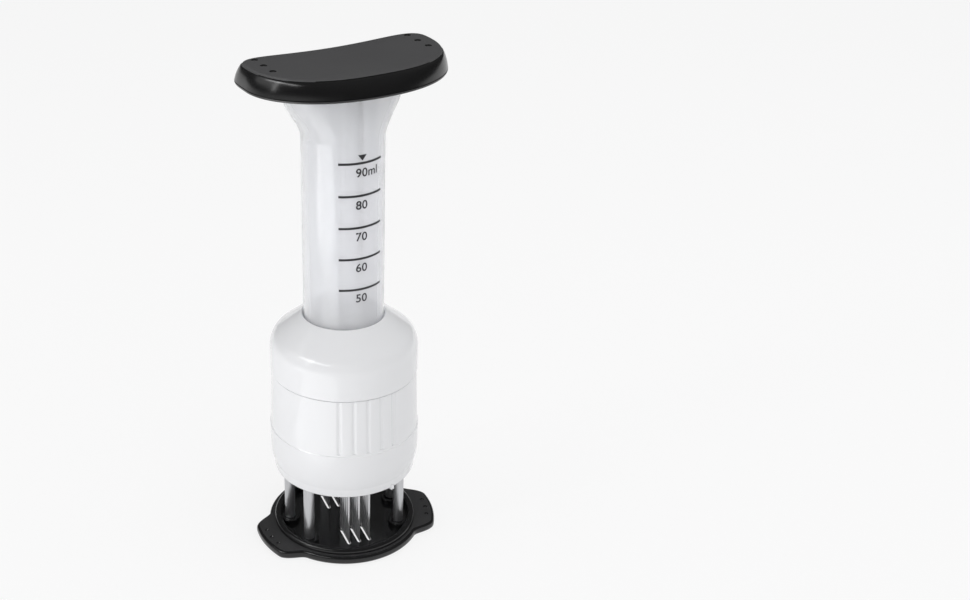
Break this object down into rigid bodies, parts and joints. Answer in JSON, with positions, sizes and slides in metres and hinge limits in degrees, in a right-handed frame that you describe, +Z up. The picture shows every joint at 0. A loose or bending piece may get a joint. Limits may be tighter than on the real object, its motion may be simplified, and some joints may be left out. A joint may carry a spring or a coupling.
{
  "type": "marinade injector",
  "caption": "Hand press marinade injector with a clear graduated barrel, palm handle, white grip housing and fine needles that reach through a sprung guard.",
  "frame": {"origin": "centre of the guard's flat underside, below the axis of the barrel", "axes": "+Z up along the barrel towards the handle, -Y towards the fluted front of the housing, X across the two ears of the guard"},
  "size_m": [0.084, 0.0668, 0.2156],
  "materials": {
    "black_plastic": "glossy black injection moulding",
    "white_plastic": "satin white injection moulding",
    "clear_plastic": "clear polished moulding",
    "natural_plastic": "natural milky moulding",
    "bright_steel": "bright drawn stainless steel",
    "spring_steel": "drawn spring wire",
    "silicone": "translucent grey silicone"
  },
  "bodies": {
    "guard": {"guard_plate": "black_plastic", "guard_post_1": "bright_steel", "guard_post_2": "bright_steel", "guard_post_3": "bright_steel", "guard_post_4": "bright_steel", "stop_screw_1": "bright_steel", "stop_screw_2": "bright_steel", "stop_screw_3": "bright_steel", "stop_screw_4": "bright_steel"},
    "housing": {"housing_shell": "white_plastic", "housing_core": "natural_plastic", "bottom_cover": "white_plastic", "needle_manifold": "natural_plastic", "valve_plate": "natural_plastic", "check_valve": "silicone", "barrel_gasket": "silicone", "barrel": "clear_plastic", "needle_01": "bright_steel", "needle_02": "bright_steel", "needle_03": "bright_steel", "needle_04": "bright_steel", "needle_05": "bright_steel", "needle_06": "bright_steel", "needle_07": "bright_steel", "needle_08": "bright_steel", "needle_09": "bright_steel", "needle_10": "bright_steel", "needle_11": "bright_steel", "needle_12": "bright_steel", "needle_13": "bright_steel", "needle_14": "bright_steel", "needle_15": "bright_steel", "needle_16": "bright_steel", "needle_17": "bright_steel", "needle_18": "bright_steel", "needle_19": "bright_steel", "needle_20": "bright_steel", "needle_21": "bright_steel", "needle_22": "bright_steel", "needle_23": "bright_steel", "needle_24": "bright_steel", "needle_25": "bright_steel", "needle_26": "bright_steel", "needle_27": "bright_steel", "needle_28": "bright_steel", "needle_29": "bright_steel", "needle_30": "bright_steel", "return_spring_1": "spring_steel", "return_spring_2": "spring_steel", "return_spring_3": "spring_steel", "return_spring_4": "spring_steel"},
    "plunger": {"plunger_rod": "clear_plastic", "piston_head": "natural_plastic", "piston_seal": "silicone", "handle_base": "black_plastic", "handle_shell": "black_plastic"}
  },
  "joints": [
    {"name": "guard_press", "type": "slide", "parent": "guard", "child": "housing", "axis": [0, 0, -1], "range_m": [0, 0.0255], "stiffness_N_per_m": 1200, "springref_m": -0.012, "deforming": ["return_spring_1", "return_spring_2", "return_spring_3", "return_spring_4"]},
    {"name": "plunger_slide", "type": "slide", "parent": "housing", "child": "plunger", "axis": [0, 0, 1], "range_m": [0, 0.121]}
  ]
}
